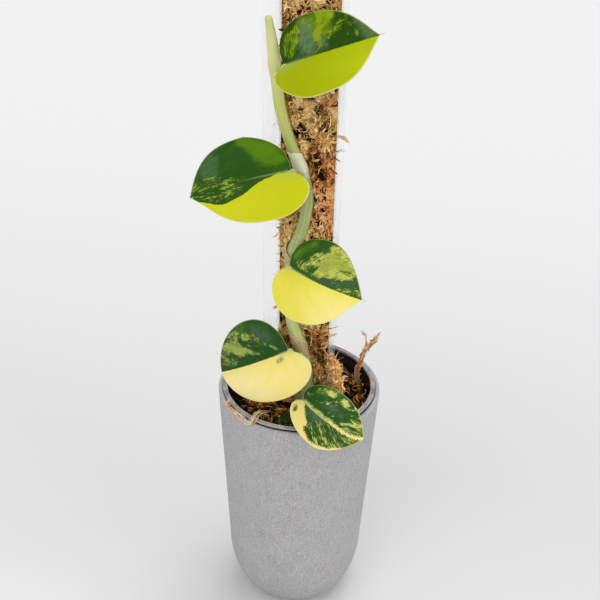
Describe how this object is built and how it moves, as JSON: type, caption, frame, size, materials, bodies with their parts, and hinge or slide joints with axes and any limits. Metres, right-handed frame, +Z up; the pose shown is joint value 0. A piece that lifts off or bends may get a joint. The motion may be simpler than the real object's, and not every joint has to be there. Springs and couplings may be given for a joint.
{
  "type": "potted rhaphidophora hayi",
  "caption": "Variegated shingling vine on a clear moss pole, rooted in a clear nursery pot of moss mix that hangs by its flange in a tall grey planter with a rounded foot.",
  "frame": {"origin": "centre of the planter's flat base, on the surface that it stands on", "axes": "+Z up along the planter's axis; -Y towards the open, mossy side of the pole that the leaves face; +X to the right as seen from there"},
  "size_m": [0.1453, 0.1471, 0.5402],
  "materials": {
    "planter": "matte grey with a fine sandy grain and faint upright lines",
    "clear_pot": "clear, slightly grey thermoformed plastic",
    "substrate": "damp dark brown moss and bark crumbs with golden fibres",
    "clear_channel": "clear glossy sheet",
    "moss": "dry, matted tan and red-brown moss with dark gaps",
    "stem": "smooth pale green, satin, with papery tan sheaths at the nodes",
    "leaf_1": "satin: upper half dark green with lime and grey-green marbling, lower half lime yellow",
    "leaf_2": "satin: upper half deep green with pale flecks near the tip, lower half yellow-lime",
    "leaf_3": "satin: upper half green with pale yellow sectors, lower half pale yellow",
    "leaf_4": "satin: upper half dark green with pale flecks, lower half butter yellow",
    "leaf_5": "satin: dark green splashed with yellow, with a pale midrib and a yellow edge",
    "basal_leaf": "satin dark green"
  },
  "bodies": {
    "root": {"planter": "planter", "nursery_pot": "clear_pot", "substrate": "substrate", "pole_channel": "clear_channel", "pole_moss": "moss", "vine_stem": "stem", "leaf_1": "leaf_1", "leaf_2": "leaf_2", "leaf_3": "leaf_3", "leaf_4": "leaf_4", "leaf_5": "leaf_5", "basal_leaf": "basal_leaf"}
  },
  "joints": []
}
